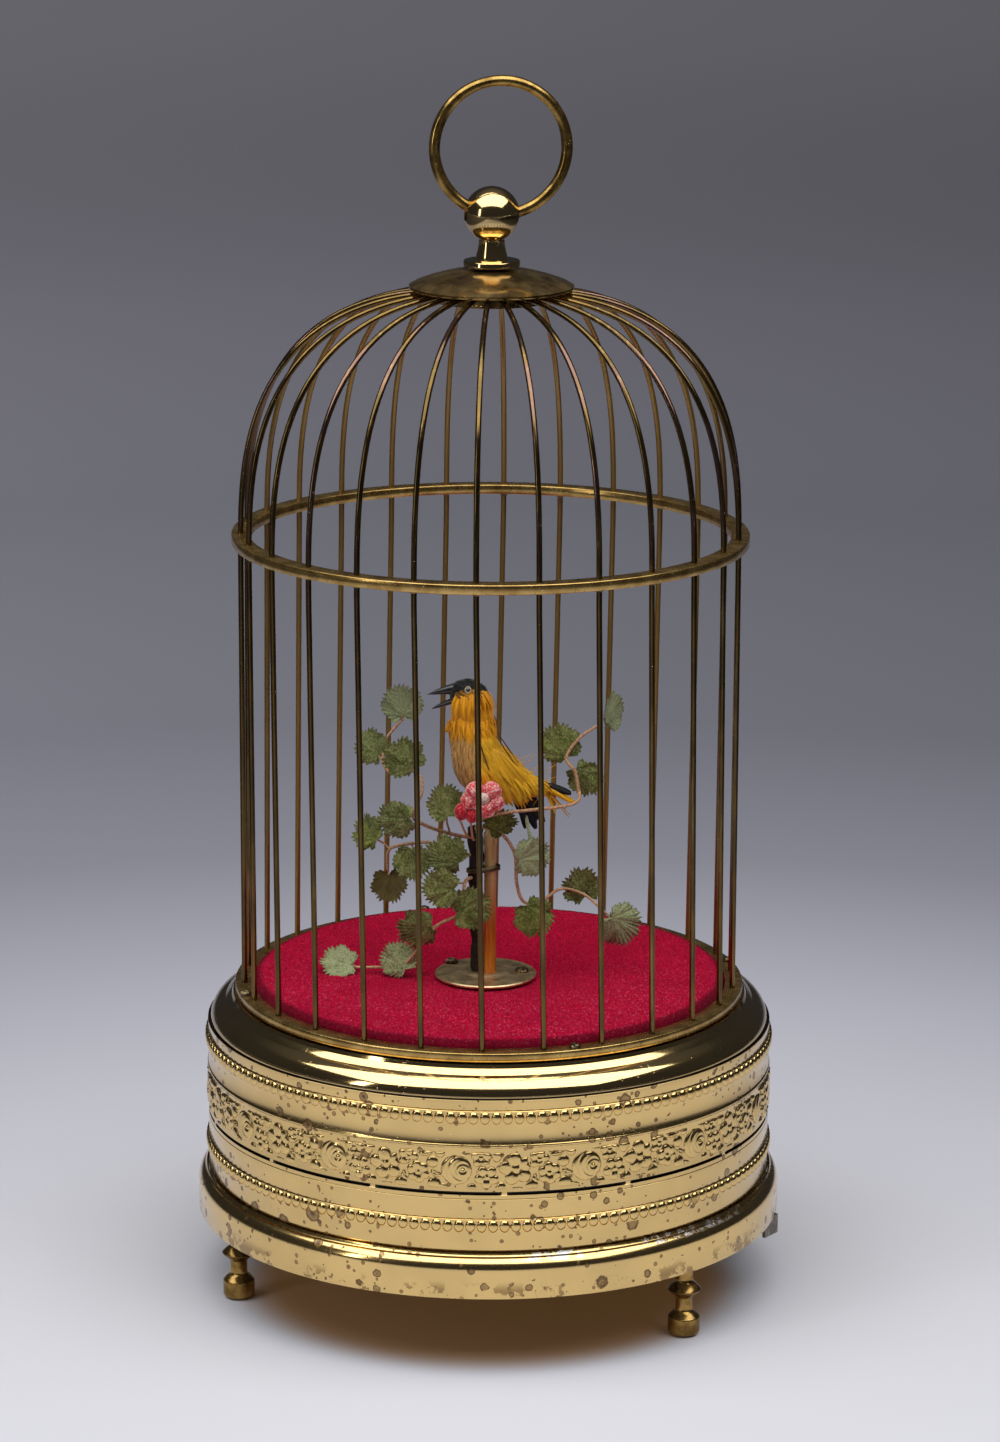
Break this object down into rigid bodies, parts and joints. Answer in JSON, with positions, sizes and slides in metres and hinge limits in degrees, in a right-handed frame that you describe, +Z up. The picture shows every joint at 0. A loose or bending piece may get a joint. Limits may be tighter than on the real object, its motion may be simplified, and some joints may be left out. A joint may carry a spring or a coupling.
{
  "type": "singing bird automaton",
  "caption": "Singing bird automaton: a feathered bird on a leafy stand inside a domed brass wire cage, on an embossed drum with its movement",
  "frame": {"origin": "on the floor under the axis of the drum, at the bottom centre of the bounding box", "axes": "+Z up, towards the carrying ring; -Y is the front that the picture shows; +X to the right, towards the stop lever"},
  "size_m": [0.135, 0.1346, 0.2799],
  "materials": {
    "brass_case": "polished, with round tarnish spots",
    "brass_cage": "aged, dull in the joints",
    "brass_movement": "machined",
    "steel": "brushed",
    "copper": "satin, copper-coloured",
    "velvet_crimson": "cut velvet",
    "velvet_leaf": "stiffened velvet",
    "velvet_blossom": "stiffened velvet",
    "feather": "natural feathers",
    "horn": "black lacquer",
    "bellows_leather": "thin kid"
  },
  "bodies": {
    "base": {"ball_finial": "brass_case", "base_rim": "brass_case", "drum_shell": "brass_case", "top_collar": "brass_case", "foot_1": "brass_case", "foot_2": "brass_case", "foot_3": "brass_case", "bar_01": "brass_cage", "bar_02": "brass_cage", "bar_03": "brass_cage", "bar_04": "brass_cage", "bar_05": "brass_cage", "bar_06": "brass_cage", "bar_07": "brass_cage", "bar_08": "brass_cage", "bar_09": "brass_cage", "bar_10": "brass_cage", "bar_11": "brass_cage", "bar_12": "brass_cage", "bar_13": "brass_cage", "bar_14": "brass_cage", "bar_15": "brass_cage", "bar_16": "brass_cage", "bar_17": "brass_cage", "bar_18": "brass_cage", "bar_19": "brass_cage", "bar_20": "brass_cage", "bar_21": "brass_cage", "bar_22": "brass_cage", "bar_23": "brass_cage", "bar_24": "brass_cage", "bar_25": "brass_cage", "bar_26": "brass_cage", "cap": "brass_cage", "mid_ring": "brass_cage", "cage_base_ring": "brass_cage", "movement_frame": "brass_movement", "movement_top_plate": "brass_movement", "whistle": "brass_movement", "base_plate": "steel", "stand": "copper", "carpet": "velvet_crimson", "foliage": "velvet_leaf", "flower": "velvet_blossom", "bird_body": "feather", "bellows": "bellows_leather"},
    "handle_ring": {"handle_ring": "brass_case"},
    "bird_head": {"bird_head": "feather"},
    "lower_beak": {"lower_beak": "horn"},
    "bird_tail": {"bird_tail": "feather"},
    "stop_lever": {"stop_lever": "steel"},
    "winding_key": {"winding_key": "steel"},
    "spring_barrel": {"spring_barrel": "brass_movement"},
    "cam_arbor": {"cam_arbor": "steel"},
    "crank_arbor": {"crank_arbor": "steel"},
    "governor_fan": {"governor_fan": "steel"},
    "bellows_board": {"bellows_board": "bellows_leather"},
    "whistle_piston": {"whistle_piston": "steel"},
    "cam_lever": {"cam_lever": "steel"},
    "push_rod": {"push_rod": "steel"}
  },
  "joints": [
    {"name": "handle_swing", "type": "hinge", "parent": "base", "child": "handle_ring", "pos_m": [0, 0, 0.24899], "axis": [0.9816, 0.138, -0.1323], "range_deg": [-120, 120]},
    {"name": "head_turn", "type": "hinge", "parent": "base", "child": "bird_head", "pos_m": [-0.0046, 0, 0.1347], "axis": [0, 0, 1], "range_deg": [-30, 30]},
    {"name": "beak_hinge", "type": "hinge", "parent": "bird_head", "child": "lower_beak", "pos_m": [-0.0078, 0, 0.138], "axis": [0, 1, 0], "range_deg": [0, 18]},
    {"name": "tail_hinge", "type": "hinge", "parent": "base", "child": "bird_tail", "pos_m": [0.0117, 0, 0.117], "axis": [0, 1, 0], "range_deg": [-8, 0]},
    {"name": "stop_lever_pivot", "type": "hinge", "parent": "base", "child": "stop_lever", "pos_m": [0.0433, 0.0053, 0.0169], "axis": [0, 0, 1], "range_deg": [-8, 0]},
    {"name": "key_turn", "type": "hinge", "parent": "base", "child": "winding_key", "pos_m": [0, 0, 0.019], "axis": [0, 0, 1], "continuous": true},
    {"name": "barrel_turn", "type": "hinge", "parent": "base", "child": "spring_barrel", "pos_m": [0, 0, 0.025], "axis": [0, 0, 1], "continuous": true},
    {"name": "cam_turn", "type": "hinge", "parent": "base", "child": "cam_arbor", "pos_m": [-0.02182, 0.0126, 0.023], "axis": [0, 0, 1], "continuous": true},
    {"name": "crank_turn", "type": "hinge", "parent": "base", "child": "crank_arbor", "pos_m": [-0.01413, 0.02909, 0.023], "axis": [0, 0, 1], "continuous": true},
    {"name": "fan_turn", "type": "hinge", "parent": "base", "child": "governor_fan", "pos_m": [0.00001, 0.02786, 0.023], "axis": [0, 0, 1], "continuous": true},
    {"name": "bellows_hinge", "type": "hinge", "parent": "base", "child": "bellows_board", "pos_m": [0.0275, 0.01, 0.0471], "axis": [0, 0, 1], "range_deg": [-3.8, 0]},
    {"name": "piston_slide", "type": "slide", "parent": "base", "child": "whistle_piston", "axis": [1, 0, 0], "range_m": [-0.008, 0.003]},
    {"name": "cam_lever_pivot", "type": "hinge", "parent": "base", "child": "cam_lever", "pos_m": [-0.01081, 0.0063, 0.05182], "axis": [0.4966, 0.868, 0], "range_deg": [-5, 0]},
    {"name": "rod_slide", "type": "slide", "parent": "base", "child": "push_rod", "axis": [0, 0, 1], "range_m": [0, 0.0011]}
  ],
  "couplings": [
    {"joint": "cam_turn", "follows": "barrel_turn", "ratio": -4},
    {"joint": "crank_turn", "follows": "barrel_turn", "ratio": 16},
    {"joint": "fan_turn", "follows": "barrel_turn", "ratio": -64},
    {"joint": "cam_lever_pivot", "follows": "rod_slide", "rad_per_m": -78.823},
    {"joint": "beak_hinge", "follows": "rod_slide", "rad_per_m": 283.76},
    {"joint": "tail_hinge", "follows": "rod_slide", "rad_per_m": -126.12}
  ]
}
